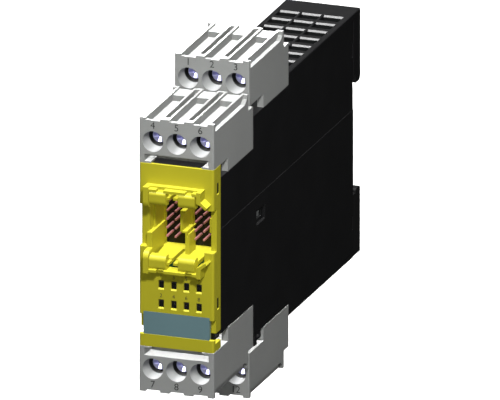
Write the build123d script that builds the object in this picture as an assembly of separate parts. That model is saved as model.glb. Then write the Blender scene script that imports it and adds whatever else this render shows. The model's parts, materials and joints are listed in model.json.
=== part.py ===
from build123d import *
import math
import os

# Safety expansion module for a 35 mm rail, in millimetres.
# X runs across the module, Y towards the rail and Z up. The origin is the middle of
# the flat rear face that stands against the rail.

# Overall sizes
module_width = 22.5
seat_depth = 118.0
hook_depth = 6.0
rail_height = 35.0
rail_clearance = 0.2
running_gap = 0.15

# Terminal block outline, measured from its front face and the rail's middle
front_block_top = 41.0
block_face_height = 13.5
block_step_back = 30.0
block_step_out = 9.5
block_upper_length = 29.3
block_length = 33.2
block_tail_drop = 5.0
cheek_start = 12.0
cheek_drop = 4.1
cheek_thickness = 1.9
plug_body_start = 18.2
block_corner = 0.4

# Wire channels in the terminal blocks
pole_pitch = 7.15
pole_count = 3
channel_width = 4.37
channel_start = 1.0
channel_end = 23.2
channel_depth = 2.4
channel_step_depth = 0.65
channel_lip_drop = 0.6
wire_hole_width = 2.3
wire_hole_offset = 0.95

# Narrow slots between the wire channels
rib_slot_width = 1.48
rib_slot_start = 2.0
rib_slot_end = 28.3
rib_slot_depth = 2.35
rib_slot_ramp_start = 26.2
rib_slot_ramp_depth = 1.17
edge_slot_width = 1.27
edge_slot_start = 1.35

# Screwdriver holes and release slot in the block's face
driver_hole_radius = 3.1
driver_hole_drop = 6.95
driver_hole_depth = 5.6
head_pocket_radius = 3.25
head_recess = 0.45
shoulder_thickness = 0.8
release_slot_inset = 1.6
release_slot_depth = 5.1
release_slot_low = 0.5
release_slot_high = 2.65
release_lip_length = 1.95

# Terminal screws
head_radius = 2.1
head_length = 2.2
head_play = 0.05
recess_width = 0.95
recess_depth = 1.1
recess_rim = 0.2
shank_radius = 1.5
shank_hole_gap = 0.15
screw_fit = 0.05
screw_turns = 4.8
thread_pitch = 0.5

# Clamp cages
cage_width = 5.2
cage_height = 6.0
cage_side = 0.7
cage_nut = 1.4
cage_floor = 0.9
cage_gap = 3.0
cage_travel = screw_turns * thread_pitch

# Contact bars and plug contacts
bar_thickness = 0.8
bar_width = 3.2
bar_gap = 0.2
contact_drop = 1.55
contact_wall = 0.3
contact_play = 0.08
contact_back_wall = 1.9
strap_thickness = 0.5
strap_gap = 0.15
land_half_height = 14.5
land_relief = 0.2
pin_width = 1.2
pin_height = 0.6
pin_reach = 6.0
pin_tail = 2.8
plug_bar_margin = 0.5
plug_bar_depth = 2.0

# Housing
top_rise = 3.7
housing_wall = 1.6
housing_top_wall = 2.0
housing_corner = 0.4
ledge_gap = 0.1
step_gap = 0.1
side_relief = 0.15
side_relief_height = 7.9
hump_length = 3.4
hump_height = 3.6
shelf_half_width = 8.2
shelf_setback = 0.9
shelf_thickness = 1.6
lug_length = 4.2
lug_height = 2.4
lug_bar = 0.7
lug_thickness = 1.3
lug_foot = 1.0
lug_side_gap = 0.15

# Cooling slots in the top and bottom walls
vent_rows = 7
vent_columns = 3
vent_pitch = 6.77
vent_length = 4.3
vent_width = 5.9
vent_rib = 0.7
vent_bevel = 0.5
vent_rear = 3.3

# Rail hooks
flange_slot = 2.1
hook_lip_height = 2.4
hook_corner = 1.5
groove_width = 1.0
groove_length = 4.3
groove_depth = 0.4
groove_height = 23.5

# Side window with its latch hole
window_start = 36.1
window_length = 7.4
window_low = -0.7
window_height = 4.4
window_depth = 0.9
window_margin = 1.1

# Rail latch and its spring
latch_nose_height = 1.1
latch_travel = 3.0
latch_head_width = 15.0
latch_head_thickness = 2.6
latch_head_height = 4.5
latch_neck_width = 12.0
latch_top_gap = 0.3
latch_pocket_bottom = 0.9
latch_eye_width = 6.0
latch_eye_height = 2.2
spring_radius = 1.9
spring_wire = 0.5
spring_turns = 6.0

# Front cover
cover_half_height = 27.4
cover_depth = 5.8
cover_side = 1.4
cover_front = 1.8
cover_edge = 0.7
tab_width = 2.9
tab_slot_length = 3.5
tab_slot_start = 2.8
tab_slot_depth = 1.7
tab_inset = 0.08
tab_heights = (20.95, -13.5)

# Connector mouth in the cover
mouth_low = 2.4
mouth_high = 15.1
mouth_setback = 2.5
socket_low = -0.35
socket_high = 17.5
socket_depth = 12.8
socket_back = 1.0
socket_wall = 1.1
socket_left = 8.95
socket_right = 9.6
socket_deep_half = 8.4
frame_reach = 3.8
frame_left = 8.81
frame_right = 8.55
frame_bar = 1.6
frame_plate = 0.8
frame_height = 4.0
frame_rib_depth = 1.9
frame_lip_drop = 0.45
frame_lips = ((-7.35, -4.9), (-2.65, 3.75), (5.85, 7.55))
frame_ear_round = 2.1
frame_ear_drop = 2.5
flare_out = 1.9
flare_start = 2.8
flare_rise = 1.6
flare_wall = 0.75
nose_height = 4.05
nose_width = 5.0
nose_reach = 3.5
nose_length = 3.0
nose_corner = 0.9
nose_round = 1.4
nose_centres = (-4.6, 4.15)
tongue_thickness = 1.0
key_inner = -7.72
key_setback = 0.8
key_top = 6.4
partition_sides = (-0.55, 1.0)
partition_wall = 0.6
partition_setback = 4.8
partition_step = 11.4
partition_end = 10.1
partition_top = 12.6
slat_top = 6.5
slat_edges = (0.95, 1.42, 2.2)
slat_step = 0.7
slat_gap = 0.3
slat_gap_depth = 1.6
tongue_edges = ((-6.45, -1.25), (-0.15, 6.5))
tongue_slot_length = 9.0
tongue_slot_side = 8.2
tongue_taper_length = 10.5

# System connector
header_width = 6.8
header_offset = 4.05
header_depth = 4.2
header_rows = 5
header_pitch = 2.54
header_pin = 0.5
header_pin_reach = 5.4
header_pin_offset = 4.27

# Indicators and label
indicator_pitch = 3.8
indicator_columns = 4
indicator_first = -4.65
indicator_rows = (-8.45, -14.2)
indicator_width = 1.75
indicator_height = 2.5
indicator_setback = 0.5
indicator_chamfer = 0.35
guide_gap = 0.1
guide_web = 1.2
label_half_width = 9.95
label_top = -17.0
label_bottom = -23.7
label_thickness = 1.0
label_gap = 0.05
notch_bottom = -25.0
notch_mid = -22.0
notch_setback = 1.9

# Circuit boards and their components
board_thickness = 1.6
board_gap = 0.3
side_board_offset = 4.6
link_depth = 2.4
link_thickness = 3.0
link_half_height = 12.7
link_overlap = 3.0
chip_size = 10.0
chip_thickness = 1.2
chip_setback = 30.0
chip_spacing = 22.0
coupler_size = 4.6
coupler_count = 5
capacitor_radius = 4.0
capacitor_height = 6.6
capacitor_drop = 14.0
choke_size = 12.0
choke_height = 5.4
power_chip_width = 6.6
power_chip_count = 4
power_chip_setback = 12.0
led_size = 1.6
led_height = 0.7

# Places worked out from the sizes above
half_width = module_width / 2
front = -seat_depth
block_bottom = front_block_top - block_face_height
cheek_bottom = block_bottom - cheek_drop
ledge = cheek_bottom - ledge_gap
outer_ledge = ledge + block_step_out
housing_half_height = outer_ledge + top_rise
cover_back = front + cover_depth
step_wall = front + block_length + step_gap
rear_step_wall = step_wall + block_step_back
inner_half = half_width - housing_wall
screw_height = front_block_top - driver_hole_drop
head_front = front + driver_hole_depth + head_recess
head_back = head_front + head_length
head_pocket_back = head_back + head_play
bore_end = head_pocket_back + shoulder_thickness
nut_front = bore_end + cage_travel + running_gap
nut_back = nut_front + cage_nut
bar_front = nut_back + bar_gap
bar_back = bar_front + bar_thickness
cage_floor_front = bar_back + cage_gap
cage_back = cage_floor_front + cage_floor
chamber_back = cage_back + 0.3
pin_level = cheek_bottom + contact_drop
strap_low = block_bottom + release_slot_low + strap_gap
leg_front = chamber_back + strap_gap + 0.1
leg_back = leg_front + strap_thickness
contact_end = front + block_length - contact_back_wall
slot_top = rail_height / 2 + rail_clearance
hook_bottom = slot_top - hook_lip_height
cavity_top = housing_half_height - housing_top_wall
seat_inner = -housing_top_wall
latch_pocket_front = seat_inner - latch_head_thickness - 2 * running_gap
latch_pocket_top = -slot_top - latch_nose_height - latch_top_gap
latch_head_top = latch_pocket_top - latch_top_gap
latch_head_bottom = latch_head_top - latch_head_height
latch_pocket_floor = -housing_half_height + latch_pocket_bottom
latch_bottom = -housing_half_height + latch_top_gap
spring_centre = (running_gap + latch_pocket_front) / 2
header_front = front + socket_depth + 0.2
header_back = header_front + header_depth
front_board_back = header_back + board_thickness
socket_middle = (socket_low + socket_high) / 2
side_board_front = front_board_back + link_depth
pin_clear = 0.1
plug_bar_low = pin_level - pin_height / 2 - plug_bar_margin
plug_bar_high = pin_level + pin_height / 2 + plug_bar_margin
plug_bar_back = step_wall + housing_wall + plug_bar_depth


def block(x0, x1, y0, y1, z0, z1):
    """Box between two opposite corners."""
    centre = Pos((x0 + x1) / 2, (y0 + y1) / 2, (z0 + z1) / 2)
    return centre * Box(abs(x1 - x0), abs(y1 - y0), abs(z1 - z0))


def prism_across(points, x0, x1):
    """Outline of Y and Z points carried across X."""
    corners = [(x0, y, z) for y, z in points]
    face = make_face(Polyline(*corners, close=True))
    return extrude(face, amount=x1 - x0, dir=(1, 0, 0))


def prism_back(points, y0, y1):
    """Outline of X and Z points carried back along Y."""
    corners = [(x, y0, z) for x, z in points]
    face = make_face(Polyline(*corners, close=True))
    return extrude(face, amount=y1 - y0, dir=(0, 1, 0))


def prism_up(points, z0, z1):
    """Outline of X and Y points carried up Z."""
    corners = [(x, y, z0) for x, y in points]
    face = make_face(Polyline(*corners, close=True))
    return extrude(face, amount=z1 - z0, dir=(0, 0, 1))


def rod_back(x, z, radius, y0, y1):
    """Round rod along Y."""
    return Pos(x, (y0 + y1) / 2, z) * Rot(90, 0, 0) * Cylinder(radius, y1 - y0)


def pole_places():
    """X of each pole in a terminal block."""
    middle = (pole_count - 1) / 2
    return [(index - middle) * pole_pitch for index in range(pole_count)]


def edges_near(shape, axis, x=None, y=None, z=None, reach=0.02):
    """Straight edges along one axis whose middle has the given coordinates."""
    chosen = []
    for edge in shape.edges().filter_by(axis):
        middle = edge.center()
        wanted = ((middle.X, x), (middle.Y, y), (middle.Z, z))
        if all(value is None or abs(have - value) < reach for have, value in wanted):
            chosen.append(edge)
    return chosen


def place(shape, rear, lower):
    """Carry something made for the upper front block to its own block."""
    if rear:
        shape = Pos(0, block_step_back, block_step_out) * shape
    if lower:
        shape = Rot(0, 180, 0) * shape
    return shape


def terminal_block():
    """Moulded body of one removable three pole terminal block."""
    top = front_block_top
    tail_top = top - block_tail_drop
    upper_back = front + block_upper_length
    back = front + block_length
    body = prism_across(
        [
            (front, block_bottom),
            (front, top),
            (upper_back, top),
            (upper_back, tail_top),
            (back, tail_top),
            (back, cheek_bottom),
            (front + cheek_start, cheek_bottom),
            (front + cheek_start, block_bottom),
        ],
        -half_width,
        half_width,
    )
    # Room between the cheeks in front of the plug body
    inner = half_width - cheek_thickness
    plug_front = front + plug_body_start
    body -= block(-inner, inner, front + cheek_start - 1, plug_front, cheek_bottom - 1, block_bottom)
    # Release slot, open below except for a lip at each end
    slot_side = half_width - release_slot_inset
    slot_floor = block_bottom + release_slot_low
    slot_roof = block_bottom + release_slot_high
    lip_side = slot_side - release_lip_length
    slot_back = front + release_slot_depth
    body -= block(-slot_side, slot_side, front - 1, slot_back, slot_floor, slot_roof)
    body -= block(-lip_side, lip_side, front - 1, slot_back, block_bottom - 1, slot_floor)
    for x in pole_places():
        body -= wire_channel(x)
        body -= screw_nest(x)
        body -= plug_cavity(x)
    body -= rib_slots()
    # Soft front edges down both sides
    sides = edges_near(body, Axis.Z, y=front, x=half_width)
    sides += edges_near(body, Axis.Z, y=front, x=-half_width)
    return fillet(sides, block_corner)


def wire_channel(x):
    """Open channel in the block's top, with the wire hole in its floor."""
    top = front_block_top
    left = x - channel_width / 2
    right = x + channel_width / 2
    channel_back = front + channel_end
    upper_back = front + block_upper_length
    cut = block(left, right, front + channel_start, channel_back, top - channel_depth, top + 1)
    cut += block(left, right, front - 1, front + channel_start + 1, top - channel_lip_drop, top + 1)
    cut += block(left, right, channel_back - 1, upper_back + 1, top - channel_step_depth, top + 1)
    hole = x + wire_hole_offset
    cut += block(
        hole - wire_hole_width / 2,
        hole + wire_hole_width / 2,
        bar_back,
        cage_floor_front,
        screw_height,
        top - channel_depth + 1,
    )
    return cut


def screw_nest(x):
    """Screwdriver hole, head pocket, shank hole and cage chamber of one pole."""
    z = screw_height
    hole_back = front + driver_hole_depth
    cut = rod_back(x, z, driver_hole_radius, front - 1, hole_back + 0.5)
    cut += rod_back(x, z, head_pocket_radius, hole_back, head_pocket_back)
    cut += rod_back(x, z, shank_radius + shank_hole_gap, head_pocket_back - 1, bore_end + 1)
    half = cage_width / 2 + running_gap
    high = z + cage_height / 2 + running_gap
    cut += block(x - half, x + half, bore_end, chamber_back, block_bottom + release_slot_low, high)
    return cut


def plug_cavity(x):
    """Room for one plug contact, with its pin hole in the back wall."""
    half = pin_width / 2 + contact_play + contact_wall + contact_play
    tall = pin_height / 2 + contact_play + contact_wall + contact_play
    cavity_back = front + block_length - 1.2
    plug_front = front + plug_body_start
    cut = block(x - half, x + half, plug_front - 1, cavity_back, pin_level - tall, pin_level + tall)
    strap_top = strap_low + strap_thickness + contact_play
    cut += block(x - half, x + half, chamber_back - 1, leg_back + contact_play, pin_level, strap_top)
    hole_half = pin_width / 2 + 0.2
    hole_tall = pin_height / 2 + 0.2
    back = front + block_length
    cut += block(
        x - hole_half,
        x + hole_half,
        cavity_back - 1,
        back + 1,
        pin_level - hole_tall,
        pin_level + hole_tall,
    )
    return cut


def rib_slot(x0, x1, start):
    """One narrow slot with a ramp at its back end."""
    top = front_block_top
    deep = top - rib_slot_depth
    points = [
        (front + start, top + 1),
        (front + start, deep),
        (front + rib_slot_ramp_start, deep),
        (front + rib_slot_end - 0.2, top - rib_slot_ramp_depth),
        (front + rib_slot_end, top + 1),
    ]
    return prism_across(points, x0, x1)


def rib_slots():
    """Slots between the channels and along both sides."""
    half = rib_slot_width / 2
    between = pole_pitch / 2
    edge = half_width - edge_slot_width
    cut = rib_slot(-between - half, -between + half, rib_slot_start)
    cut += rib_slot(between - half, between + half, rib_slot_start)
    cut += rib_slot(-half_width - 1, -edge, edge_slot_start)
    cut += rib_slot(edge, half_width + 1, edge_slot_start)
    return cut


def terminal_screw(x):
    """Captive screw with a cross recess, its wings ramped; the tip bears on the bar."""
    tip = bar_front - 0.05
    screw = rod_back(x, screw_height, head_radius, head_front, head_back)
    screw += rod_back(x, screw_height, shank_radius, head_back - 0.5, tip)
    half = recess_width / 2
    z = screw_height
    wing = [(offset, head_front + depth) for offset, depth in recess_outline()]
    across = prism_up([(x + offset, y) for offset, y in wing], z - half, z + half)
    upright = prism_across([(y, z + offset) for offset, y in wing], x - half, x + half)
    screw -= across
    screw -= upright
    return screw


def recess_outline():
    """Offset and depth of one pair of wings, sloping up to the head's rim."""
    rim = head_radius - recess_rim
    floor = rim - recess_depth
    return [(-rim - 0.1, -0.1), (rim + 0.1, -0.1), (floor, recess_depth), (-floor, recess_depth)]


def clamp_cage(x):
    """Steel cage that rises on the screw and pulls the wire against the bar."""
    half = cage_width / 2
    low = screw_height - cage_height / 2
    high = screw_height + cage_height / 2
    inner = half - cage_side
    cage = block(x - half, x + half, nut_front, cage_back, low, high)
    cage -= block(x - inner, x + inner, nut_back, cage_floor_front, low - 1, high + 1)
    cage -= rod_back(x, screw_height, shank_radius + screw_fit, nut_front - 1, nut_back + 1)
    return cage


def contact(x):
    """Contact bar bent back along the chamber's floor and down into a plug sleeve."""
    half = bar_width / 2
    inner_half_width = pin_width / 2 + contact_play
    inner_half_height = pin_height / 2 + contact_play
    outer_half_width = inner_half_width + contact_wall
    outer_half_height = inner_half_height + contact_wall
    foot = pin_level - outer_half_height
    bar_top = screw_height + cage_height / 2
    bar = block(x - half, x + half, bar_front, bar_back, strap_low, bar_top)
    strap_half = outer_half_width
    strap_top = strap_low + strap_thickness
    bar += block(x - strap_half, x + strap_half, bar_front, leg_back, strap_low, strap_top)
    bar += block(x - strap_half, x + strap_half, leg_front, leg_back, foot, strap_top)
    sleeve = block(
        x - outer_half_width,
        x + outer_half_width,
        leg_back,
        contact_end,
        foot,
        pin_level + outer_half_height,
    )
    sleeve -= block(
        x - inner_half_width,
        x + inner_half_width,
        leg_back + strap_thickness,
        contact_end + 1,
        pin_level - inner_half_height,
        pin_level + inner_half_height,
    )
    return bar + sleeve


def plug_header():
    """Insulating bar that holds the three plug pins behind the step wall."""
    side = half_width - 2 * housing_wall
    body = block(-side, side, step_wall, plug_bar_back, plug_bar_low, plug_bar_high)
    for x in pole_places():
        body -= plug_pin_hole(x)
    return body


def plug_pin_hole(x):
    """Square hole for one plug pin in its bar."""
    half = pin_width / 2
    tall = pin_height / 2
    return block(x - half, x + half, step_wall - 1, step_wall + 9, pin_level - tall, pin_level + tall)


def plug_pin(x):
    """One flat plug pin, from the block's contact back to its bent solder tail."""
    half = pin_width / 2
    high = pin_level + pin_height / 2
    low = pin_level - pin_height / 2
    back = plug_bar_back + pin_height
    pin = block(x - half, x + half, step_wall - pin_reach, back, low, high)
    pin += block(x - half, x + half, plug_bar_back, back, low - pin_tail, high)
    return pin


def housing_outline():
    """Y and Z points of the housing seen from its side, without the latch."""
    ledge_points = [
        (cover_back, ledge),
        (step_wall, ledge),
        (step_wall, outer_ledge),
        (rear_step_wall, outer_ledge),
        (rear_step_wall, housing_half_height),
    ]
    hook_points = [
        (hook_depth, housing_half_height),
        (hook_depth, hook_bottom),
        (flange_slot, hook_bottom),
        (flange_slot, slot_top),
        (0, slot_top),
        (0, -housing_half_height),
    ]
    lower = [(y, -z) for y, z in reversed(ledge_points)]
    return ledge_points + hook_points + lower


def housing_cavity():
    """Inside of the housing, open at the front."""
    wall = housing_wall
    upper = [
        (cover_back - 1, ledge - wall),
        (step_wall + wall, ledge - wall),
        (step_wall + wall, outer_ledge - wall),
        (rear_step_wall + wall, outer_ledge - wall),
        (rear_step_wall + wall, cavity_top),
    ]
    hook = [
        (hook_depth - wall, cavity_top),
        (hook_depth - wall, slot_top + wall),
        (seat_inner, slot_top + wall),
        (seat_inner, -cavity_top),
    ]
    lower = [(y, -z) for y, z in reversed(upper)]
    return prism_across(upper + hook + lower, -inner_half, inner_half)


def vent_cuts():
    """Rows of cooling slots with a bevelled rear rim, for the top wall."""
    cut = None
    columns_middle = (vent_columns - 1) / 2
    top = housing_half_height
    for row in range(vent_rows):
        rear = -vent_rear - row * vent_pitch
        fore = rear - vent_length - vent_bevel
        points = [
            (fore, top - housing_top_wall - 1),
            (fore, top + 1),
            (rear, top + 1),
            (rear, top),
            (rear - vent_bevel, top - vent_bevel),
            (rear - vent_bevel, top - housing_top_wall - 1),
        ]
        for column in range(vent_columns):
            x = (column - columns_middle) * (vent_width + vent_rib)
            slot = prism_across(points, x - vent_width / 2, x + vent_width / 2)
            cut = slot if cut is None else cut + slot
    return cut


def latch_pocket():
    """Walls of the pocket that guides the rail latch, inside the rear wall."""
    half = latch_head_width / 2 + running_gap + housing_wall
    top = latch_pocket_top + housing_wall
    wall_front = latch_pocket_front - housing_wall
    return block(-half, half, wall_front, seat_inner + 0.5, -housing_half_height + 0.5, top)


def latch_pocket_cut():
    """Space in the pocket for the latch head, its neck and the spring."""
    head = latch_head_width / 2 + running_gap
    neck = latch_neck_width / 2 + running_gap
    floor = latch_pocket_floor
    cut = block(-head, head, latch_pocket_front, seat_inner, floor, latch_pocket_top)
    cut += block(-neck, neck, seat_inner - 1, 1, floor, latch_pocket_top)
    return cut


def block_seat(narrow):
    """Hump that carries a terminal block's floor, narrower where lugs stand beside it."""
    inner = half_width - cheek_thickness - lug_side_gap
    if narrow:
        inner -= lug_thickness + 0.5
    start = cover_back + 0.2
    return block(-inner, inner, start, start + hump_length, ledge - 1, ledge + hump_height)


def seat_shelf():
    """Shelf that carries the seat forward, close behind the cover's front."""
    top = ledge + hump_height
    start = front + shelf_setback + running_gap
    half = shelf_half_width
    return block(-half, half, start, cover_back + 0.5, top - shelf_thickness, top)


def shelf_notch():
    """Room for the seat's shelf in the cover's top wall and behind its front."""
    half = shelf_half_width + 0.2
    low = ledge + hump_height - shelf_thickness - running_gap
    return block(-half, half, front + shelf_setback, cover_back + 1, low, cover_half_height + 1)


def block_lug(outboard):
    """Holed lug beside a lower block's seat, inside its cheek or flush with its side."""
    start = cover_back + 0.2
    end = start + lug_length
    outer = half_width - lug_side_gap if outboard else half_width - cheek_thickness - lug_side_gap
    inner = outer - lug_thickness
    lug = block(inner, outer, start, end, ledge - 1, ledge + lug_height)
    lug -= block(
        inner - 1,
        outer + 1,
        start + lug_bar,
        end - lug_bar,
        ledge + 0.1,
        ledge + lug_height - lug_bar,
    )
    if outboard:
        lug += block(inner, outer, start - lug_foot, start + lug_bar, ledge - 1, ledge + hump_height)
    return lug


def cover_tab(side, z):
    """Snap tab that reaches forward from the housing into the cover's side slot."""
    low = z - tab_width / 2
    high = z + tab_width / 2
    inner = half_width - cover_side - 1.25
    outer = half_width - cover_side - running_gap
    root = half_width - housing_wall + 0.3
    tip = front + tab_slot_start - 0.3
    tab = block(inner, outer, tip, cover_back + 2.5, low, high)
    tab += block(inner, root, cover_back + 0.05, cover_back + 2.5, low, high)
    nib_front = front + tab_slot_start + running_gap
    nib_back = front + tab_slot_start + tab_slot_depth - running_gap
    tab += block(outer - 0.3, half_width - tab_inset, nib_front, nib_back, low, high)
    if side < 0:
        tab = mirror(tab, about=Plane.YZ)
    return tab


def housing():
    """Black housing: one moulding with rail hook, latch pocket and vents."""
    shell = prism_across(housing_outline(), -half_width, half_width)
    hook_edge = edges_near(shell, Axis.X, y=hook_depth, z=hook_bottom)
    shell = fillet(hook_edge, hook_corner)
    corners = []
    for side in (-half_width, half_width):
        corners += edges_near(shell, Axis.Y, x=side, z=housing_half_height)
        corners += edges_near(shell, Axis.Y, x=side, z=-housing_half_height)
    shell = fillet(corners, housing_corner)
    shell -= housing_cavity()
    shell += latch_pocket()
    shell -= latch_pocket_cut()
    vents = vent_cuts()
    shell -= vents
    shell -= mirror(vents, about=Plane.XY)
    for rear in (False, True):
        for narrow in (False, True):
            seat = place(block_seat(narrow), rear, narrow)
            shell += seat
        if not rear:
            shelf = seat_shelf()
            shell += shelf
            shell += mirror(shelf, about=Plane.XY)
        lug = place(block_lug(rear), rear, True)
        shell += lug
        shell += mirror(lug, about=Plane.YZ)
        window = header_window()
        if rear:
            window = Pos(0, block_step_back, block_step_out) * window
        shell -= window
        shell -= mirror(window, about=Plane.XY)
    for side in (-1, 1):
        for z in tab_heights:
            shell += cover_tab(side, z)
    shell -= side_details()
    shell -= mirror(side_details(), about=Plane.YZ)
    out = half_width + 1
    shell -= block(-out, out, -land_relief, flange_slot, land_half_height, slot_top)
    shell -= block(-out, out, -land_relief, 1, -housing_half_height - 1, -land_half_height)
    return shell


def header_window():
    """Window in the step wall for the bar that holds the plug pins."""
    side = half_width - 2 * housing_wall + pin_clear
    back = plug_bar_back + pin_height + 2 * pin_clear
    low = plug_bar_low - pin_clear
    return block(-side, side, step_wall - 1, back, low, plug_bar_high + pin_clear)


def side_details():
    """Shallow cuts in the right side: upper relief, grooves and latch window."""
    out = half_width + 1
    cut = block(half_width - side_relief, out, cover_back - 1, 0.5, side_relief_height, housing_half_height - 2)
    groove = block(
        half_width - groove_depth,
        out,
        -groove_width,
        0,
        groove_height,
        groove_height + groove_length,
    )
    cut += groove
    cut += mirror(groove, about=Plane.XY)
    y0 = front + window_start
    y1 = y0 + window_length
    z1 = window_low + window_height
    cut += block(half_width - window_depth, out, y0, y1, window_low, z1)
    edge = window_margin
    cut += block(inner_half - 1, out, y0 + edge, y1 - edge, window_low + edge, z1 - edge)
    return cut


def rail_latch():
    """Sliding foot with its guide head, nose behind the lower rail flange."""
    side = half_width - 0.1
    nose_top = -slot_top + latch_nose_height
    slot_floor = -slot_top
    plate = prism_across(
        [
            (running_gap, slot_floor),
            (flange_slot, slot_floor),
            (flange_slot, nose_top),
            (hook_depth, nose_top),
            (hook_depth, latch_bottom),
            (running_gap, latch_bottom),
        ],
        -side,
        side,
    )
    nose = edges_near(plate, Axis.X, y=hook_depth, z=nose_top)
    nose += edges_near(plate, Axis.X, y=flange_slot, z=nose_top)
    plate = fillet(nose, latch_nose_height * 0.8)
    neck = latch_neck_width / 2
    head = latch_head_width / 2
    head_back_face = seat_inner - running_gap
    plate += block(-neck, neck, head_back_face - 0.5, running_gap + 0.5, latch_head_bottom, latch_head_top)
    plate += block(
        -head,
        head,
        head_back_face - latch_head_thickness,
        head_back_face,
        latch_head_bottom,
        latch_head_top,
    )
    eye = latch_eye_width / 2
    eye_low = latch_bottom + 2.0
    plate -= block(-eye, eye, hook_depth - 3.0, hook_depth + 1, eye_low, eye_low + latch_eye_height)
    return plate


def latch_spring():
    """Coil spring that pushes the rail latch up."""
    low = latch_pocket_floor + spring_wire / 2 + 0.05
    high = latch_head_bottom - spring_wire / 2 - 0.05
    pitch = (high - low) / spring_turns
    path = Helix(pitch=pitch, height=high - low, radius=spring_radius)
    start = path @ 0
    section = Plane(origin=start, z_dir=path % 0) * Circle(spring_wire / 2)
    coil = sweep(section, path=path, is_frenet=True)
    return Pos(0, spring_centre, low) * coil


def flare(top):
    """Front outline of the frame's right bar with its slanted wing."""
    right = frame_right
    inner = right - frame_bar + 0.3
    shoulder = top - flare_start
    tip = shoulder - flare_rise
    return [
        (right, top),
        (right, shoulder),
        (right + flare_out, tip),
        (right + flare_out - 0.55 * flare_wall, tip - 0.8 * flare_wall),
        (right - 0.3, shoulder - 1.2 * flare_wall),
        (right - 0.3, shoulder - 1.3 * flare_wall),
        (inner, shoulder - 0.4),
        (inner, top),
    ]


def frame_top():
    """Upper connector frame in front of the cover, with its two rounded noses."""
    fore = front - frame_reach
    back = front + 0.5
    top = socket_high + frame_height
    frame = block(-frame_left, frame_right, front - frame_rib_depth, back, top - frame_plate, top)
    lip_top = top - frame_lip_drop
    lip_back = front - frame_rib_depth + 0.5
    for start, end in frame_lips:
        frame += block(start, end, fore, lip_back, lip_top - frame_plate, lip_top)
    ear_end = top - frame_height - frame_ear_drop
    ear = block(-frame_left, -frame_left + frame_bar, fore, back, ear_end, top)
    ear_edge = edges_near(ear, Axis.X, y=fore, z=ear_end)
    frame += fillet(ear_edge, frame_ear_round)
    frame += prism_back(flare(top), fore, back)
    nose_top = top - frame_plate - 0.55
    nose_low = nose_top - nose_height
    for centre, edges in zip(nose_centres, tongue_edges):
        left = centre - nose_width / 2
        right = centre + nose_width / 2
        nose_front = front - nose_reach
        nose = block(left, right, nose_front, nose_front + nose_length, nose_low, nose_top)
        nose = fillet(edges_near(nose, Axis.X, y=nose_front, z=nose_top), nose_corner)
        frame += fillet(edges_near(nose, Axis.X, y=nose_front, z=nose_low), nose_round)
        tongue_low = socket_high - 0.1
        frame += prism_across(
            [
                (nose_front + 1, tongue_low + 0.55),
                (front + 9, tongue_low),
                (front + 9, tongue_low + tongue_thickness),
                (nose_front + 1, tongue_low + tongue_thickness + 0.3),
            ],
            edges[0],
            edges[1],
        )
    return frame


def socket_tube():
    """Deep walls of the connector pocket behind the cover's front."""
    wall = socket_wall
    outer = socket_deep_half + wall
    back = front + socket_depth + socket_back
    tube = block(-outer, outer, front + 0.5, back, socket_low - wall, socket_high + wall)
    full = block(-half_width, half_width, front, cover_back, socket_low - wall, socket_high + wall)
    sides = edges_near(full, Axis.Z, y=front)
    return tube + fillet(sides, cover_edge)


def socket_cuts():
    """Pocket inside the socket walls, its mouth and the slots beside the tongues."""
    back = front + socket_depth
    deep = block(-socket_deep_half, socket_deep_half, front - 1, back, socket_low, socket_high)
    fore = block(-socket_left, socket_right, front - 1, cover_back, mouth_low, mouth_high)
    low = block(-socket_left, socket_deep_half, front - 1, cover_back, socket_low, socket_high)
    mouth = block(-half_width - 1, half_width + 1, front - 1, front + mouth_setback, mouth_low, mouth_high)
    cut = deep + fore + low + mouth
    for side in (-1, 1):
        x = side * header_offset
        half = header_width / 2 + pin_clear
        window_low = socket_low + pin_clear
        window_high = socket_high - pin_clear
        cut += block(x - half, x + half, back - 1, back + 3, window_low, window_high)
    return cut


def tongue_slots():
    """Gaps in the pocket floor and roof that free the two tongues."""
    left_edge = tongue_edges[0]
    right_edge = tongue_edges[1]
    low = socket_low - socket_wall - 0.6
    back = front + tongue_slot_length
    cut = block(left_edge[1], right_edge[0], front - 1, back, low, socket_low + 0.5)
    cut += block(right_edge[1], tongue_slot_side, front - 1, back, low, socket_low + 0.5)
    cut += prism_up(
        [
            (key_inner, front - 1),
            (left_edge[0], front - 1),
            (key_inner + 0.3, front + tongue_taper_length),
            (key_inner, front + tongue_taper_length),
        ],
        low,
        socket_low + 0.5,
    )
    # Hollow under the tongues, above the frame's plate
    under = socket_low - socket_wall
    hollow_low = socket_low - frame_height + frame_plate
    left = -frame_left + frame_bar
    cut += block(left, frame_right - frame_bar, front - 1, front + cover_front + 1, hollow_low, under)
    return cut


def socket_partitions():
    """Key walls that stand inside the connector pocket."""
    back = front + socket_depth + 0.1
    key = block(-socket_left - 0.3, key_inner, front + key_setback, back, socket_low - 0.3, key_top)
    left, right = partition_sides
    start = front + partition_setback
    tall = block(left, left + partition_wall, start, back, slat_top - 0.3, partition_top)
    tall += block(left, right, start, back, partition_top - partition_wall, partition_top)
    tall += block(left, right, front + partition_step, back, slat_top - 0.3, partition_top)
    low_end = front + partition_end
    low = block(left + partition_wall - 0.1, slat_edges[1], start, back, slat_top - 0.5, slat_top)
    low += block(slat_edges[0], slat_edges[2], start, low_end, socket_low - 0.3, slat_top - slat_step)
    low += block(slat_edges[0], slat_edges[1], start, low_end, slat_top - slat_step - 0.1, slat_top)
    low -= block(slat_edges[1], slat_edges[1] + slat_gap, start - 1, low_end + 1, slat_top - slat_gap_depth, slat_top + 1)
    rib = block(socket_right - 0.7, socket_right + 0.3, front + 3.2, front + 5.2, 7.5, 11.7)
    return key + tall + low + rib


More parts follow.
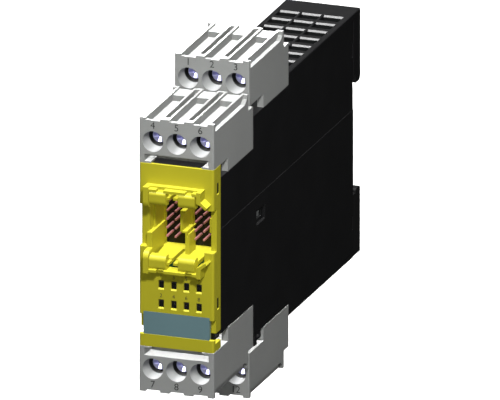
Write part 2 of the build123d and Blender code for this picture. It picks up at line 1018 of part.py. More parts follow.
def indicator_places():
    """X and Z of each indicator window."""
    places = []
    for z in indicator_rows:
        for column in range(indicator_columns):
            places.append((indicator_first + column * indicator_pitch, z))
    return places


def indicator_window(x, z):
    """Window through the cover's front, with a sloping sill."""
    half = indicator_width / 2
    tall = indicator_height / 2
    hole = block(x - half, x + half, front - 1, front + cover_front + 1, z - tall, z + tall)
    sill = prism_across(
        [
            (front - 0.01, z - tall - indicator_chamfer),
            (front + indicator_chamfer, z - tall),
            (front + indicator_chamfer, z - tall + 0.2),
            (front - 0.01, z - tall + 0.2),
        ],
        x - half,
        x + half,
    )
    return hole + sill


def cover_notch(side):
    """Finger notch beside the label and the catch notch behind it."""
    out = side * (half_width + 1)
    inner = side * (label_half_width - 0.2)
    cut = block(inner, out, front - 1, front + notch_setback, label_bottom - 0.1, label_top - 0.8)
    wall_inner = side * (half_width - cover_side - 0.1)
    cut += block(wall_inner, out, front + notch_setback - 0.5, cover_back + 1, notch_bottom, notch_mid)
    return cut


def front_cover():
    """Yellow front cover with the connector frames moulded on."""
    half = cover_half_height
    cover = block(-half_width, half_width, front, cover_back, -half, half)
    sides = edges_near(cover, Axis.Z, y=front)
    cover = fillet(sides, cover_edge)
    inner = half_width - cover_side
    inner_front = front + cover_front
    cover -= block(-inner, inner, inner_front, cover_back + 1, -half + cover_side, half - cover_side)
    cover += socket_tube()
    cover -= socket_cuts()
    frame = frame_top()
    lower_frame = Pos(0, 0, 2 * socket_middle) * mirror(frame, about=Plane.XY)
    notch = shelf_notch()
    cover -= notch
    cover -= mirror(notch, about=Plane.XY)
    slots = tongue_slots()
    cover -= slots
    cover -= Pos(0, 0, 2 * socket_middle) * mirror(slots, about=Plane.XY)
    cover += frame
    cover += lower_frame
    cover += socket_partitions()
    for x, z in indicator_places():
        cover -= indicator_window(x, z)
    recess = label_half_width + label_gap
    cover -= block(
        -recess,
        recess,
        front - 1,
        front + label_thickness + label_gap,
        label_bottom - label_gap,
        label_top + label_gap,
    )
    for side in (-1, 1):
        cover -= cover_notch(side)
        for z in tab_heights:
            cover -= tab_slot(side, z)
    return cover


def tab_slot(side, z):
    """Slot in the cover's side for one snap tab."""
    low = z - tab_slot_length / 2
    high = z + tab_slot_length / 2
    y0 = front + tab_slot_start
    y1 = y0 + tab_slot_depth
    inner = side * (half_width - cover_side - 0.5)
    out = side * (half_width + 1)
    return block(inner, out, y0, y1, low, high)


def label_plate():
    """Thin plate that snaps into the cover below the indicators."""
    side = label_half_width
    plate = block(-side, side, front, front + label_thickness, label_bottom, label_top)
    return fillet(edges_near(plate, Axis.Y), 0.3)


def light_guide():
    """Clear moulding: eight rods from the indicators to their windows, on one web."""
    half = indicator_width / 2 - guide_gap
    tall = indicator_height / 2 - guide_gap
    back = header_back - led_height - guide_gap
    face = front + indicator_setback
    places = indicator_places()
    web_y = cover_back + 1.0
    x0 = places[0][0] - indicator_width
    x1 = places[-1][0] + indicator_width
    z0 = indicator_rows[-1] - indicator_height
    z1 = indicator_rows[0] + indicator_height
    guide = block(x0, x1, web_y, web_y + guide_web, z0, z1)
    for x, z in places:
        top = z + tall
        guide += prism_across(
            [
                (face, z - tall),
                (face, top - 0.5),
                (face + 0.5, top),
                (back, top),
                (back, z - tall),
            ],
            x - half,
            x + half,
        )
    return guide


def status_leds():
    """Eight small light sources on the front board, behind the guide's rods."""
    half = led_size / 2
    group = []
    for x, z in indicator_places():
        group.append(block(x - half, x + half, header_back - led_height, header_back, z - 0.4, z + 0.4))
    return Compound(children=group)


def connector_board():
    """Front board that carries the system connector and the indicators."""
    side = inner_half - board_gap
    top = ledge - housing_wall - board_gap
    return block(-side, side, header_back, front_board_back, -top, top)


def header_body(side):
    """Insulating body of one ten pin header."""
    x = side * header_offset
    half = header_width / 2
    low = socket_low + 2 * pin_clear
    high = socket_high - 2 * pin_clear
    body = block(x - half, x + half, header_front, header_back, low, high)
    for px, pz in header_pin_places(side):
        body -= header_pin_bar(px, pz, 1)
    return body


def header_pin_places(side):
    """X and Z of the ten pins in one header."""
    places = []
    middle = (header_rows - 1) / 2
    for row in range(header_rows):
        for column in (-0.5, 0.5):
            x = side * header_pin_offset + column * header_pitch
            places.append((x, socket_middle + (row - middle) * header_pitch))
    return places


def header_pin_bar(x, z, extra):
    """Square pin from its tip in the pocket back to the board's face."""
    half = header_pin / 2
    tip = header_front - header_pin_reach - extra
    return block(x - half, x + half, tip, header_back + extra, z - half, z + half)


def system_pins():
    """All twenty pins of the system connector."""
    pins = []
    for side in (-1, 1):
        for x, z in header_pin_places(side):
            pins.append(header_pin_bar(x, z, 0))
    return Compound(children=pins)


def side_board(side):
    """Stepped board that stands along one side of the housing."""
    wall = housing_wall
    gap = board_gap
    rear_limit = latch_pocket_front - wall - gap
    upper = [
        (side_board_front, ledge - wall - gap),
        (step_wall + wall + gap, ledge - wall - gap),
        (step_wall + wall + gap, plug_bar_low - gap),
        (plug_bar_back + gap, plug_bar_low - gap),
        (plug_bar_back + gap, outer_ledge - wall - gap),
        (rear_limit, outer_ledge - wall - gap),
    ]
    lower = [(y, -z) for y, z in reversed(upper)]
    x = side * side_board_offset
    half = board_thickness / 2
    return prism_across(upper + lower, x - half, x + half)


def board_links():
    """Two right angle connectors between the front board and the side boards."""
    parts = []
    for side in (-1, 1):
        x = side * side_board_offset
        inner = x - side * board_thickness / 2
        outer = inner - side * link_thickness
        back = side_board_front + link_overlap
        parts.append(block(inner, outer, front_board_back, back, -link_half_height, link_half_height))
    return Compound(children=parts)


def processors():
    """Two square processors on the inner face of the left board."""
    face = -side_board_offset + board_thickness / 2
    half = chip_size / 2
    chips = []
    for z in (-chip_spacing / 2, chip_spacing / 2):
        y = side_board_front + chip_setback
        chips.append(block(face, face + chip_thickness, y - half, y + half, z - half, z + half))
    return Compound(children=chips)


def optocouplers():
    """Row of isolating couplers on the outer face of the left board."""
    face = -side_board_offset - board_thickness / 2
    half = coupler_size / 2
    parts = []
    middle = (coupler_count - 1) / 2
    for index in range(coupler_count):
        z = (index - middle) * 2 * coupler_size
        y = rear_step_wall - 6.0
        parts.append(block(face - 2.1, face, y - half, y + half, z - half, z + half))
    return Compound(children=parts)


def capacitors():
    """Three round capacitors on the inner face of the right board."""
    face = side_board_offset - board_thickness / 2
    parts = []
    for index in range(3):
        y = rear_step_wall + 4.0 + index * 2.6 * capacitor_radius
        can = Cylinder(capacitor_radius, capacitor_height)
        x = face - capacitor_height / 2
        parts.append(Pos(x, y, -capacitor_drop) * Rot(0, 90, 0) * can)
    return Compound(children=parts)


def power_choke():
    """Square storage choke on the right board."""
    face = side_board_offset - board_thickness / 2
    half = choke_size / 2
    y = rear_step_wall + 8.0
    z = 12.0
    choke = block(face - choke_height, face, y - half, y + half, z - half, z + half)
    return fillet(choke.edges().filter_by(Axis.X), 1.5)


def output_switches():
    """Row of power transistors on the outer face of the right board."""
    face = side_board_offset + board_thickness / 2
    half = power_chip_width / 2
    parts = []
    middle = (power_chip_count - 1) / 2
    for index in range(power_chip_count):
        z = (index - middle) * 1.6 * power_chip_width
        y = rear_step_wall - power_chip_setback
        parts.append(block(face, face + 2.3, y - half, y + half, z - half, z + half))
    return Compound(children=parts)


def build_nodes():
    """Every node of the module by name."""
    nodes = {
        "housing": housing(),
        "front_cover": front_cover(),
        "label_plate": label_plate(),
        "light_guide": light_guide(),
        "status_leds": status_leds(),
        "connector_board": connector_board(),
        "system_header_left": header_body(-1),
        "system_header_right": header_body(1),
        "system_pins": system_pins(),
        "logic_board": side_board(-1),
        "power_board": side_board(1),
        "board_links": board_links(),
        "processors": processors(),
        "optocouplers": optocouplers(),
        "capacitors": capacitors(),
        "power_choke": power_choke(),
        "output_switches": output_switches(),
        "rail_latch": rail_latch(),
        "latch_spring": latch_spring(),
    }
    body = terminal_block()
    header = plug_header()
    pins = []
    for lower in (False, True):
        level = "lower" if lower else "upper"
        for rear in (False, True):
            name = level + ("_rear" if rear else "_front")
            nodes["terminal_block_" + name] = place(body, rear, lower)
            nodes["plug_header_" + name] = place(header, rear, lower)
            bars = []
            for index, x in enumerate(pole_places()):
                source = -x if lower else x
                number = str(index + 1)
                nodes["screw_" + name + "_" + number] = place(terminal_screw(source), rear, lower)
                nodes["cage_" + name + "_" + number] = place(clamp_cage(source), rear, lower)
                bars.append(place(contact(x), rear, lower))
                pins.append(place(plug_pin(x), rear, lower))
            nodes["contacts_" + name] = Compound(children=bars)
    nodes["plug_pins"] = Compound(children=pins)
    return nodes


os.makedirs("parts", exist_ok=True)
for node_name, shape in build_nodes().items():
    export_step(shape, "parts/" + node_name + ".step")
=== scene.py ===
"""Looks of a slim safety expansion module with plug-in screw terminals."""
import json
import math

import bpy
import numpy as np
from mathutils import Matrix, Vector

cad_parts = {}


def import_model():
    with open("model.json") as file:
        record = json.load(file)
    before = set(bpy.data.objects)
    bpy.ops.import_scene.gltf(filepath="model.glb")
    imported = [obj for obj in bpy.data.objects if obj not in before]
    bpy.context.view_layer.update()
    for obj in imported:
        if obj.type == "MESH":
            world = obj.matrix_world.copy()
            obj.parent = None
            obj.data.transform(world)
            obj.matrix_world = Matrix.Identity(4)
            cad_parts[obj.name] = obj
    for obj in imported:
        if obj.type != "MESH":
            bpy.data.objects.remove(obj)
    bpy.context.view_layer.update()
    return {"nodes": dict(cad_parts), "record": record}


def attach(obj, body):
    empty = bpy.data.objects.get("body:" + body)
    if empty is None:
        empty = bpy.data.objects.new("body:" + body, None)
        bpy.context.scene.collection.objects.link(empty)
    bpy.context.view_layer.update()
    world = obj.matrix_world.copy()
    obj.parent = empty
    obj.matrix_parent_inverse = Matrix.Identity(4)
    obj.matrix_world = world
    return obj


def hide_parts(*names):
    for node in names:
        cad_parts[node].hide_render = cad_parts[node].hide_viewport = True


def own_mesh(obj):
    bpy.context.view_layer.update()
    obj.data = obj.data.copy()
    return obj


MM = 0.001
MICRON = 0.000001

# The picture's view, which has no perspective
VIEW_RIGHT_DEGREES = 19.6
VIEW_ABOVE_DEGREES = 18.8
PIXELS_PER_MM = 3.524
PICTURE_WIDTH = 500
VIEW_CENTRE_MM = (1.504, -60.0, -1.06)
CAMERA_REACH = 10.0

# Places from the CAD part, in millimetres
FACE_Y = -118.0
POLE_X = (-7.15, 0.0, 7.15)
BLOCK_TOP = 41.0
SCREW_DROP_FROM_TOP = 6.95
SCREW_Z = BLOCK_TOP - SCREW_DROP_FROM_TOP
STEP_BACK = 30.0
STEP_OUT = 9.5
WINDOW_X = (-4.65, -0.85, 2.95, 6.75)
WINDOW_Z = (-8.45, -14.2)

# The latch's spring, in millimetres
COIL_RADIUS = 1.9
COIL_WIRE = 0.5
COIL_TURNS = 6
COIL_RINGS_PER_TURN = 28
COIL_SIDES = 10
COIL_Y = -2.375
COIL_BOTTOM = -35.3
COIL_TOP = -24.2

# Printed numbers, in millimetres
PRINT_HALF_THICKNESS = 0.01
TERMINAL_NUMBER_SIZE = 2.9
NUMBER_ABOVE_SCREW = 4.75
WINDOW_NUMBER_SIZE = 1.6
NUMBER_ABOVE_WINDOW = 2.4

# Painted shade inside a terminal: deeper than this depth behind its face and closer than this
# radius to its screw, in millimetres, the colour is painted nearly black
BLOCK_SHADE = (5.6, 3.4)
SCREW_SHADE = (6.9, 0.7)
SHADE_EDGE = 0.3
SHADE_COLOUR = (0.003, 0.003, 0.003)

# Directions in which the picture's view sees light mirrored by level faces and by bevels
LEVEL_MIRROR = (-0.32, 0.89, 0.32)
BEVEL_MIRROR = (-0.32, -0.32, 0.89)


def to_frame(points_mm):
    """Millimetre points as metres."""
    return np.asarray(points_mm, dtype=float) * MM


def mesh_piece(name, vertices_mm, faces):
    """Mesh object in the part's frame from millimetre points and lists of corners."""
    mesh = bpy.data.meshes.new(name)
    mesh.from_pydata(to_frame(vertices_mm).tolist(), [], faces)
    mesh.update()
    piece = bpy.data.objects.new(name, mesh)
    bpy.context.scene.collection.objects.link(piece)
    return piece


class Shader:
    """Node tree of one finish, with short calls for the nodes it uses."""

    def __init__(self, name):
        self.material = bpy.data.materials.new(name)
        self.material.use_nodes = True
        self.tree = self.material.node_tree
        self.tree.nodes.clear()
        output = self.tree.nodes.new("ShaderNodeOutputMaterial")
        self.surface = self.tree.nodes.new("ShaderNodeBsdfPrincipled")
        self.link(self.surface.outputs["BSDF"], output.inputs["Surface"])
        self.place = self.tree.nodes.new("ShaderNodeTexCoord").outputs["Object"]

    def link(self, source, target):
        """Join an output to an input."""
        self.tree.links.new(source, target)

    def noise(self, scale, detail=2.0, roughness=0.5, stretch=None):
        """Noise whose scale is in cycles per metre."""
        node = self.tree.nodes.new("ShaderNodeTexNoise")
        node.inputs["Scale"].default_value = scale
        node.inputs["Detail"].default_value = detail
        node.inputs["Roughness"].default_value = roughness
        place = self.place
        if stretch is not None:
            mapping = self.tree.nodes.new("ShaderNodeMapping")
            mapping.inputs["Scale"].default_value = stretch
            self.link(self.place, mapping.inputs["Vector"])
            place = mapping.outputs["Vector"]
        self.link(place, node.inputs["Vector"])
        return node.outputs["Fac"]

    def spread(self, source, low, high, start=0.3, end=0.7):
        """Value carried from low to high as the source goes from start to end."""
        node = self.tree.nodes.new("ShaderNodeMapRange")
        node.inputs["From Min"].default_value = start
        node.inputs["From Max"].default_value = end
        node.inputs["To Min"].default_value = low
        node.inputs["To Max"].default_value = high
        self.link(source, node.inputs["Value"])
        return node.outputs["Result"]

    def tint(self, source, dark, light, start=0.3, end=0.7):
        """Colour carried from dark to light by the source."""
        ramp = self.tree.nodes.new("ShaderNodeValToRGB")
        ramp.color_ramp.elements[0].position = start
        ramp.color_ramp.elements[0].color = (*dark, 1)
        ramp.color_ramp.elements[1].position = end
        ramp.color_ramp.elements[1].color = (*light, 1)
        self.link(source, ramp.inputs["Fac"])
        return ramp.outputs["Color"]

    def arithmetic(self, kind, *values):
        """One arithmetic step on outputs of nodes or plain numbers."""
        node = self.tree.nodes.new("ShaderNodeMath")
        node.operation = kind
        for socket, value in zip(node.inputs, values):
            if isinstance(value, (int, float)):
                socket.default_value = value
            else:
                self.link(value, socket)
        return node.outputs["Value"]

    def screw_place(self):
        """Depth behind the block's face and distance from the screw's axis, in metres.

        The rear blocks' depth and height are brought to the front blocks' by their step.
        Each screw's place across is wrapped into one pitch round its axis, and beyond the
        outer screws' own pitch it is a metre away, so the block's sides count as far off.
        """
        split = self.tree.nodes.new("ShaderNodeSeparateXYZ")
        self.link(self.place, split.inputs["Vector"])
        depth = self.arithmetic("SUBTRACT", split.outputs["Y"], FACE_Y * MM)
        short_of_step = 1.0
        rear = self.arithmetic("GREATER_THAN", depth, (STEP_BACK - short_of_step) * MM)
        depth = self.arithmetic("MULTIPLY_ADD", rear, -STEP_BACK * MM, depth)
        height = self.arithmetic("ABSOLUTE", split.outputs["Z"])
        height = self.arithmetic("SUBTRACT", height, SCREW_Z * MM)
        height = self.arithmetic("MULTIPLY_ADD", rear, -STEP_OUT * MM, height)
        half_pitch = POLE_X[2] / 2 * MM
        from_middle = self.arithmetic("ABSOLUTE", split.outputs["X"])
        outside = self.arithmetic("GREATER_THAN", from_middle, 3 * half_pitch)
        across = self.arithmetic("WRAP", split.outputs["X"], half_pitch, -half_pitch)
        across = self.arithmetic("ADD", across, outside)
        squares = self.arithmetic("MULTIPLY", height, height)
        squares = self.arithmetic("MULTIPLY_ADD", across, across, squares)
        return depth, self.arithmetic("SQRT", squares)

    def paint_shade_inside(self, colour, floor_mm, radius_mm):
        """Colour with painted shade: it turns dark beyond a depth, within a radius of the
        screw's axis.
        """
        depth, radius = self.screw_place()
        deep = self.spread(depth, 0.0, 1.0, floor_mm * MM, (floor_mm + SHADE_EDGE) * MM)
        near = self.spread(radius, 1.0, 0.0, radius_mm * MM, (radius_mm + SHADE_EDGE) * MM)
        mix = self.tree.nodes.new("ShaderNodeMix")
        mix.data_type = "RGBA"
        self.link(self.arithmetic("MULTIPLY", deep, near), mix.inputs["Factor"])
        self.link(colour, mix.inputs["A"])
        mix.inputs["B"].default_value = (*SHADE_COLOUR, 1)
        return mix.outputs["Result"]

    def relief(self, source, height, softened=0.0):
        """Bump from the source over edges that look rounded, both in micrometres."""
        bump = self.tree.nodes.new("ShaderNodeBump")
        bump.inputs["Strength"].default_value = 1.0
        bump.inputs["Distance"].default_value = height * MICRON
        self.link(source, bump.inputs["Height"])
        if softened > 0:
            rounder = self.tree.nodes.new("ShaderNodeBevel")
            rounder.samples = 4
            rounder.inputs["Radius"].default_value = softened * MICRON
            self.link(rounder.outputs["Normal"], bump.inputs["Normal"])
        self.link(bump.outputs["Normal"], self.surface.inputs["Normal"])


def scaled(colour, factor):
    """Colour made lighter or darker by a factor."""
    return tuple(min(1.0, channel * factor) for channel in colour)


def moulded(name, colour, variation, grain, roughness, edge, gloss=0.5, painted_shade=None):
    """Moulded plastic: fine spark-eroded grain, slow colour drift, softened edges, and painted
    shade inside the terminals where given.
    """
    shader = Shader(name)
    drift = shader.noise(scale=90.0, detail=3.0)
    tone = shader.tint(drift, scaled(colour, 1 - variation), scaled(colour, 1 + variation))
    # Painted shade: colour turned nearly black deep inside the terminals
    if painted_shade is not None:
        tone = shader.paint_shade_inside(tone, *painted_shade)
    shader.link(tone, shader.surface.inputs["Base Color"])
    fine = shader.noise(scale=5200.0, detail=2.0, roughness=0.6)
    uneven = shader.spread(fine, low=roughness - 0.06, high=roughness + 0.06)
    shader.link(uneven, shader.surface.inputs["Roughness"])
    shader.relief(fine, grain, edge)
    shader.surface.inputs["Specular IOR Level"].default_value = gloss
    return shader.material


def metal(name, colour, roughness, stretch, edge, metallic=1.0, painted_shade=None):
    """Plated metal: drawn lines along one way, slow tone drift, softened edges, and painted
    shade inside the screws' recesses where given.
    """
    shader = Shader(name)
    lines = shader.noise(scale=1800.0, detail=3.0, roughness=0.6, stretch=stretch)
    tone = shader.tint(lines, scaled(colour, 0.86), colour)
    # Painted shade: colour turned nearly black at the bottom of the screw's recess
    if painted_shade is not None:
        tone = shader.paint_shade_inside(tone, *painted_shade)
    shader.link(tone, shader.surface.inputs["Base Color"])
    uneven = shader.spread(lines, low=roughness - 0.08, high=roughness + 0.1)
    shader.link(uneven, shader.surface.inputs["Roughness"])
    shader.surface.inputs["Metallic"].default_value = metallic
    shader.relief(lines, height=4, softened=edge)
    return shader.material


def laminate(name, colour):
    """Circuit board: solder mask over a faint pattern of tracks and glass weave."""
    shader = Shader(name)
    weave = shader.noise(scale=1500.0, detail=4.0, roughness=0.7)
    tracks = shader.tree.nodes.new("ShaderNodeTexBrick")
    tracks.inputs["Scale"].default_value = 130.0
    tracks.inputs["Mortar Size"].default_value = 0.03
    tracks.inputs["Color1"].default_value = (*colour, 1)
    tracks.inputs["Color2"].default_value = (*scaled(colour, 0.8), 1)
    tracks.inputs["Mortar"].default_value = (*scaled(colour, 1.7), 1)
    # The boards stand in Y and Z, and the pattern lies in X and Y
    mapping = shader.tree.nodes.new("ShaderNodeMapping")
    mapping.inputs["Rotation"].default_value = (0.0, math.pi / 2, 0.0)
    shader.link(shader.place, mapping.inputs["Vector"])
    shader.link(mapping.outputs["Vector"], tracks.inputs["Vector"])
    shader.link(tracks.outputs["Color"], shader.surface.inputs["Base Color"])
    shader.link(shader.spread(weave, low=0.28, high=0.42), shader.surface.inputs["Roughness"])
    shader.relief(weave, height=10)
    return shader.material


def clear_moulding(name, colour):
    """Clear light guide plastic with faint flow lines."""
    shader = Shader(name)
    flow = shader.noise(scale=700.0, detail=2.0, roughness=0.5, stretch=(1.0, 0.2, 1.0))
    tone = shader.tint(flow, scaled(colour, 0.9), colour)
    shader.link(tone, shader.surface.inputs["Base Color"])
    shader.link(shader.spread(flow, low=0.12, high=0.2), shader.surface.inputs["Roughness"])
    shader.surface.inputs["Transmission Weight"].default_value = 0.55
    shader.surface.inputs["IOR"].default_value = 1.49
    shader.relief(flow, height=10, softened=100)
    return shader.material


def plastics():
    """Plastic finishes by slot, with their grain and edges in micrometres."""
    # Each row: name, colour, variation, grain, roughness, edge and gloss
    rows = {
        "black_plastic": ("housing_black", (0.0075, 0.0075, 0.008), 0.12, 8, 0.42, 100, 0.2),
        "grey_plastic": ("terminal_grey", (0.27, 0.276, 0.268), 0.02, 8, 0.5, 60, 0.3),
        "yellow_plastic": ("cover_yellow", (0.375, 0.345, 0.018), 0.02, 8, 0.46, 130, 0.3),
        "teal_plastic": ("label_teal", (0.115, 0.192, 0.207), 0.02, 3, 0.38, 80, 0.3),
        "latch_plastic": ("latch_black", (0.009, 0.009, 0.0095), 0.12, 12, 0.5, 200, 0.2),
        "header_plastic": ("header_black", (0.006, 0.006, 0.006), 0.1, 6, 0.5, 100, 0.2),
        "chip_black": ("chip_epoxy", (0.02, 0.02, 0.021), 0.15, 10, 0.55, 100, 0.5),
        "coupler_white": ("coupler_cream", (0.66, 0.65, 0.58), 0.03, 8, 0.5, 100, 0.5),
        "led_white": ("diode_lens", (0.80, 0.79, 0.66), 0.04, 3, 0.25, 80, 0.5),
        "choke_grey": ("choke_ferrite", (0.07, 0.07, 0.075), 0.2, 30, 0.6, 200, 0.5),
        "capacitor_sleeve": ("capacitor_film", (0.03, 0.035, 0.12), 0.05, 4, 0.3, 200, 0.5),
    }
    # The grey blocks get painted shade in their screw wells
    inside = {"grey_plastic": BLOCK_SHADE}
    return {slot: moulded(*row, painted_shade=inside.get(slot)) for slot, row in rows.items()}


def metals():
    """Metal finishes by slot, with their edges in micrometres."""
    along = (1.0, 0.05, 1.0)
    across = (0.05, 1.0, 1.0)
    # Each row: name, colour, roughness, way of the drawn lines, edge and metallic
    rows = {
        "screw_steel": ("screw_zinc", (0.42, 0.42, 0.66), 0.5, along, 60, 0.6),
        "cage_steel": ("cage_zinc", (0.62, 0.60, 0.52), 0.34, across, 100, 1.0),
        "spring_steel": ("spring_wire", (0.42, 0.42, 0.44), 0.28, across, 0, 1.0),
        "contact_brass": ("contact_tin", (0.70, 0.66, 0.56), 0.32, along, 60, 1.0),
        "pin_gold": ("pin_copper", (0.50, 0.20, 0.21), 0.4, along, 60, 0.3),
    }
    # The screws get painted shade at the bottom of their recesses
    inside = {"screw_steel": SCREW_SHADE}
    return {slot: metal(*row, painted_shade=inside.get(slot)) for slot, row in rows.items()}


def finishes():
    """Every finish of the module by the record's slot name."""
    others = {
        # Nearly black colour: painted shade for the unlit inside seen through the clear guides
        "clear_plastic": clear_moulding("guide_clear", (0.015, 0.015, 0.015)),
        "board_green": laminate("board_mask", (0.02, 0.13, 0.05)),
    }
    return {**plastics(), **metals(), **others}


def dress_nodes(frame, by_slot):
    """Give each CAD node the finish of its own slot."""
    for entry in frame["record"]["subparts"]:
        node = frame["nodes"].get(entry["node"])
        if node is None:
            continue
        node.data.materials.clear()
        node.data.materials.append(by_slot[entry["material_slot"]])


def ink(name, colour):
    """Thin printed ink with an uneven film."""
    shader = Shader(name)
    film = shader.noise(scale=2600.0, detail=3.0, roughness=0.6)
    thin = tuple(channel * 1.6 + 0.01 for channel in colour)
    shader.link(shader.tint(film, colour, thin), shader.surface.inputs["Base Color"])
    shader.link(shader.spread(film, low=0.4, high=0.6), shader.surface.inputs["Roughness"])
    shader.relief(film, height=3)
    return shader.material


def numeral(name, text, size_mm, centre_mm, material):
    """Plain number printed on a front face, turned into a thin mesh."""
    curve = bpy.data.curves.new(name, "FONT")
    curve.body = text
    curve.size = size_mm * MM
    curve.align_x = "CENTER"
    curve.align_y = "CENTER"
    curve.extrude = PRINT_HALF_THICKNESS * MM
    curve.resolution_u = 6
    words = bpy.data.objects.new(name + "_text", curve)
    bpy.context.scene.collection.objects.link(words)
    bpy.context.view_layer.update()
    mesh = bpy.data.meshes.new_from_object(words)
    bpy.data.objects.remove(words)
    flat = np.empty(len(mesh.vertices) * 3)
    mesh.vertices.foreach_get("co", flat)
    flat = flat.reshape(-1, 3)
    # Text lies in X and Y, so its height goes up Z and its thickness towards the front
    turned = np.column_stack([flat[:, 0], -flat[:, 2], flat[:, 1]]) + to_frame(centre_mm)
    mesh.vertices.foreach_set("co", turned.ravel())
    mesh.update()
    piece = bpy.data.objects.new(name, mesh)
    bpy.context.scene.collection.objects.link(piece)
    mesh.materials.clear()
    mesh.materials.append(material)
    return piece


def terminal_numbers(material):
    """Plain numbers beside the screwdriver holes of the four blocks."""
    blocks = (
        ("upper_front", 1, 0, ("4", "5", "6")),
        ("upper_rear", 1, 1, ("1", "2", "3")),
        ("lower_front", -1, 0, ("7", "8", "9")),
        ("lower_rear", -1, 1, ("10", "11", "12")),
    )
    for level, side, rear, words in blocks:
        body = "module" if rear else level + "_block"
        y = FACE_Y + STEP_BACK * rear - PRINT_HALF_THICKNESS
        z = side * (SCREW_Z + NUMBER_ABOVE_SCREW + STEP_OUT * rear)
        for number, (x, word) in enumerate(zip(POLE_X, words)):
            name = "number_%s_%d" % (level, number + 1)
            centre = (x, y, z)
            piece = numeral(name, word, TERMINAL_NUMBER_SIZE, centre, material)
            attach(piece, body)


def window_numbers(material):
    """Plain numbers above the indicator windows."""
    for row, z in enumerate(WINDOW_Z):
        for column, x in enumerate(WINDOW_X):
            word = str(2 * column + row + 1)
            name = "number_window_" + word
            centre = (x, FACE_Y - PRINT_HALF_THICKNESS, z + NUMBER_ABOVE_WINDOW)
            piece = numeral(name, word, WINDOW_NUMBER_SIZE, centre, material)
            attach(piece, "module")


def tube_faces(rings, sides):
    """Faces of a tube of equal rings, with both ends closed.

    Point s of ring r has the number r times sides plus s. A wall face joins a point, the
    same point of the next ring and the two points beside them.
    """
    point = np.arange(rings * sides).reshape(rings, sides)
    beside = np.roll(point, -1, axis=1)
    wall = np.stack([point[:-1], point[1:], beside[1:], beside[:-1]], axis=-1)
    ends = [point[0].tolist(), point[-1, ::-1].tolist()]
    return wall.reshape(-1, 4).tolist() + ends


def latch_coil(material):
    """Coil spring behind the latch, drawn at one fixed length in place of the CAD part's spring.

    The wire's middle runs round the axis at a steady rise, x = r cos a and y = r sin a
    with z in proportion to a. Each ring of points stands square to it, on the radial
    line and on the cross product of the radial line and the wire's direction.
    """
    rings = COIL_TURNS * COIL_RINGS_PER_TURN + 1
    angle = np.linspace(0.0, 2 * math.pi * COIL_TURNS, rings)
    rise = COIL_TOP - COIL_BOTTOM
    level = np.zeros(rings)
    cosine, sine = np.cos(angle), np.sin(angle)
    radial = np.column_stack([cosine, sine, level])
    middle = COIL_RADIUS * radial + np.column_stack([level, level, rise * angle / angle[-1]])
    slope = level + rise / angle[-1]
    along = np.column_stack([-COIL_RADIUS * sine, COIL_RADIUS * cosine, slope])
    along /= np.linalg.norm(along, axis=1)[:, None]
    upward = np.cross(radial, along)
    turn = (np.arange(COIL_SIDES) * 2 * math.pi / COIL_SIDES)[:, None]
    ring = radial[:, None] * np.cos(turn) + upward[:, None] * np.sin(turn)
    points = middle[:, None] + COIL_WIRE / 2 * ring + np.array([0.0, COIL_Y, COIL_BOTTOM])
    coil = mesh_piece("latch_coil", points.reshape(-1, 3), tube_faces(rings, COIL_SIDES))
    coil.data.polygons.foreach_set("use_smooth", [True] * len(coil.data.polygons))
    coil.data.materials.append(material)
    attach(coil, "module")
    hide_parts("latch_spring")
    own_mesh(coil)


def floor():
    """Plain pale sheet well below the module, as the module hangs on its rail.

    Its points stand on a square grid, and each face joins four neighbours.
    """
    reach = 3000.0
    drop = -300.0
    count = 9
    steps = np.linspace(-reach, reach, count)
    x, y = np.meshgrid(steps, steps)
    points = np.column_stack([x.ravel(), y.ravel(), np.full(x.size, drop)])
    index = np.arange(count * count).reshape(count, count)
    corners = (index[:-1, :-1], index[:-1, 1:], index[1:, 1:], index[1:, :-1])
    faces = np.stack(corners, axis=-1).reshape(-1, 4).tolist()
    sheet = mesh_piece("floor", points, faces)
    shader = Shader("floor_paper")
    fibre = shader.noise(scale=40.0, detail=3.0)
    tone = shader.tint(fibre, (0.86, 0.86, 0.86), (0.90, 0.90, 0.90))
    shader.link(tone, shader.surface.inputs["Base Color"])
    shader.surface.inputs["Roughness"].default_value = 0.9
    shader.surface.inputs["Specular IOR Level"].default_value = 0.0
    shader.surface.inputs["Emission Color"].default_value = (1, 1, 1, 1)
    shader.surface.inputs["Emission Strength"].default_value = 0.35
    sheet.data.materials.append(shader.material)
    sheet.visible_diffuse = False
    sheet.visible_glossy = False


def near_lamp(name, towards, distance_mm, strength, radius_mm):
    """Round lamp near the middle of the module, so its light falls off along the module."""
    lamp = bpy.data.lights.new(name, "POINT")
    lamp.energy = strength
    lamp.shadow_soft_size = radius_mm * MM
    middle = Vector((0.0, -60.0, 0.0))
    holder = bpy.data.objects.new(name, lamp)
    holder.location = (middle + Vector(towards).normalized() * distance_mm) * MM
    holder.visible_camera = False
    bpy.context.scene.collection.objects.link(holder)
    return holder


def softbox(name, towards, strength, spread_degrees, shadows=True):
    """Even light from one side, as from a large box far away."""
    lamp = bpy.data.lights.new(name, "SUN")
    lamp.energy = strength
    lamp.angle = math.radians(spread_degrees)
    lamp.use_shadow = shadows
    holder = bpy.data.objects.new(name, lamp)
    holder.location = Vector(towards)
    holder.rotation_euler = (-Vector(towards)).to_track_quat("-Z", "Y").to_euler()
    bpy.context.scene.collection.objects.link(holder)
    return holder


def pieces_of(name, frame, slots):
    """Group of the nodes that have one of some finishes."""
    group = bpy.data.collections.new(name)
    for entry in frame["record"]["subparts"]:
        node = frame["nodes"].get(entry["node"])
        if node is not None and entry["material_slot"] in slots:
            group.objects.link(node)
    return group


def reach_only(lamp, frame, slots):
    """Let a lamp light only the nodes of some finishes."""
    lamp.light_linking.receiver_collection = pieces_of(lamp.name + "_pieces", frame, slots)


def keep_off(lamp, frame, slots):
    """Let a lamp light everything but the nodes of some finishes."""
    group = pieces_of(lamp.name + "_spared", frame, slots)
    for link in group.collection_objects:
        link.light_linking.link_state = "EXCLUDE"
    lamp.light_linking.receiver_collection = group


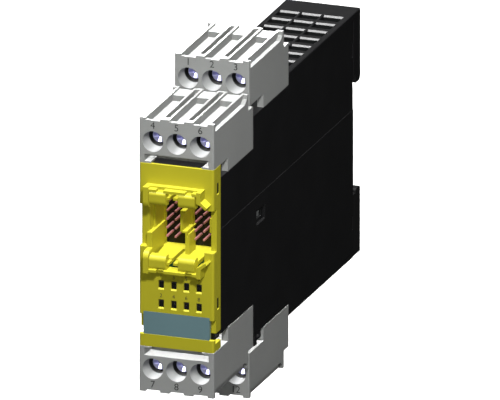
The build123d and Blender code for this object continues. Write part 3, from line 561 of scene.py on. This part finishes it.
def general_light(frame):
    """Near lamp, even light from above and a fill on each side, all kept off the screws."""
    wide = 25.0
    key = near_lamp("key", (0.31, -0.754, 0.58), distance_mm=400.0, strength=4.9, radius_mm=17.0)
    overhead = softbox("overhead", (0.0, -0.01, 1.0), 4.5, wide, shadows=False)
    right = softbox("right_fill", (0.7, -0.7, 0.0), 0.7, wide, shadows=False)
    left = softbox("left_fill", (-0.7, 0.7, 0.0), 1.6, wide, shadows=False)
    for fill in (right, left):
        fill.visible_glossy = False
    for lamp in (key, overhead, right, left):
        keep_off(lamp, frame, ("screw_steel",))


def studio(frame):
    """General light, the screw heads' own lamp and lights for single finishes."""
    general_light(frame)
    narrow, middling, broad = 6.0, 10.0, 20.0
    heads = softbox("heads", (0.3, -0.85, -0.42), 1.4, narrow)
    reach_only(heads, frame, ("screw_steel",))
    sheen = softbox("sheen", LEVEL_MIRROR, 6.0, broad, shadows=False)
    sheen.visible_diffuse = False
    reach_only(sheen, frame, ("grey_plastic",))
    # The cover's level faces are lit from straight above, part of it with shadows
    for name, strength, shadows in (("glow", 3.0, False), ("shade", 2.0, True)):
        lamp = softbox(name, (0.0, 0.0, 1.0), strength, middling, shadows)
        reach_only(lamp, frame, ("yellow_plastic",))
    glint = softbox("glint", BEVEL_MIRROR, 14.0, broad, shadows=False)
    glint.visible_diffuse = False
    reach_only(glint, frame, ("black_plastic", "screw_steel"))


def world():
    """Soft studio surroundings: pale above, dim below."""
    space = bpy.data.worlds.new("studio")
    space.use_nodes = True
    tree = space.node_tree
    tree.nodes.clear()
    output = tree.nodes.new("ShaderNodeOutputWorld")
    ground = tree.nodes.new("ShaderNodeBackground")
    ramp = tree.nodes.new("ShaderNodeValToRGB")
    split = tree.nodes.new("ShaderNodeSeparateXYZ")
    place = tree.nodes.new("ShaderNodeTexCoord")
    ramp.color_ramp.elements[0].position = 0.0
    ramp.color_ramp.elements[0].color = (0.02, 0.02, 0.02, 1)
    ramp.color_ramp.elements[1].position = 0.5
    ramp.color_ramp.elements[1].color = (0.20, 0.20, 0.20, 1)
    tree.links.new(place.outputs["Generated"], split.inputs["Vector"])
    tree.links.new(split.outputs["Z"], ramp.inputs["Fac"])
    tree.links.new(ramp.outputs["Color"], ground.inputs["Color"])
    ground.inputs["Strength"].default_value = 1.0
    tree.links.new(ground.outputs["Background"], output.inputs["Surface"])
    bpy.context.scene.world = space


def camera():
    """Camera without perspective, at the picture's angle and scale."""
    side = math.radians(VIEW_RIGHT_DEGREES)
    rise = math.radians(VIEW_ABOVE_DEGREES)
    level = math.cos(rise)
    forward = Vector((-math.sin(side) * level, math.cos(side) * level, -math.sin(rise)))
    data = bpy.data.cameras.new("camera")
    data.type = "ORTHO"
    data.ortho_scale = PICTURE_WIDTH / PIXELS_PER_MM * MM
    data.clip_end = CAMERA_REACH
    holder = bpy.data.objects.new("camera", data)
    holder.location = Vector(VIEW_CENTRE_MM) * MM - forward
    holder.rotation_euler = forward.to_track_quat("-Z", "Y").to_euler()
    bpy.context.scene.collection.objects.link(holder)
    bpy.context.scene.camera = holder


def main():
    """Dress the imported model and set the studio."""
    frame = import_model()
    camera()
    world()
    floor()
    by_slot = finishes()
    dress_nodes(frame, by_slot)
    studio(frame)
    dark_ink = ink("printed_grey", (0.012, 0.012, 0.012))
    terminal_numbers(dark_ink)
    window_numbers(dark_ink)
    latch_coil(by_slot["spring_steel"])
    bpy.context.scene.view_settings.view_transform = "Standard"


main()
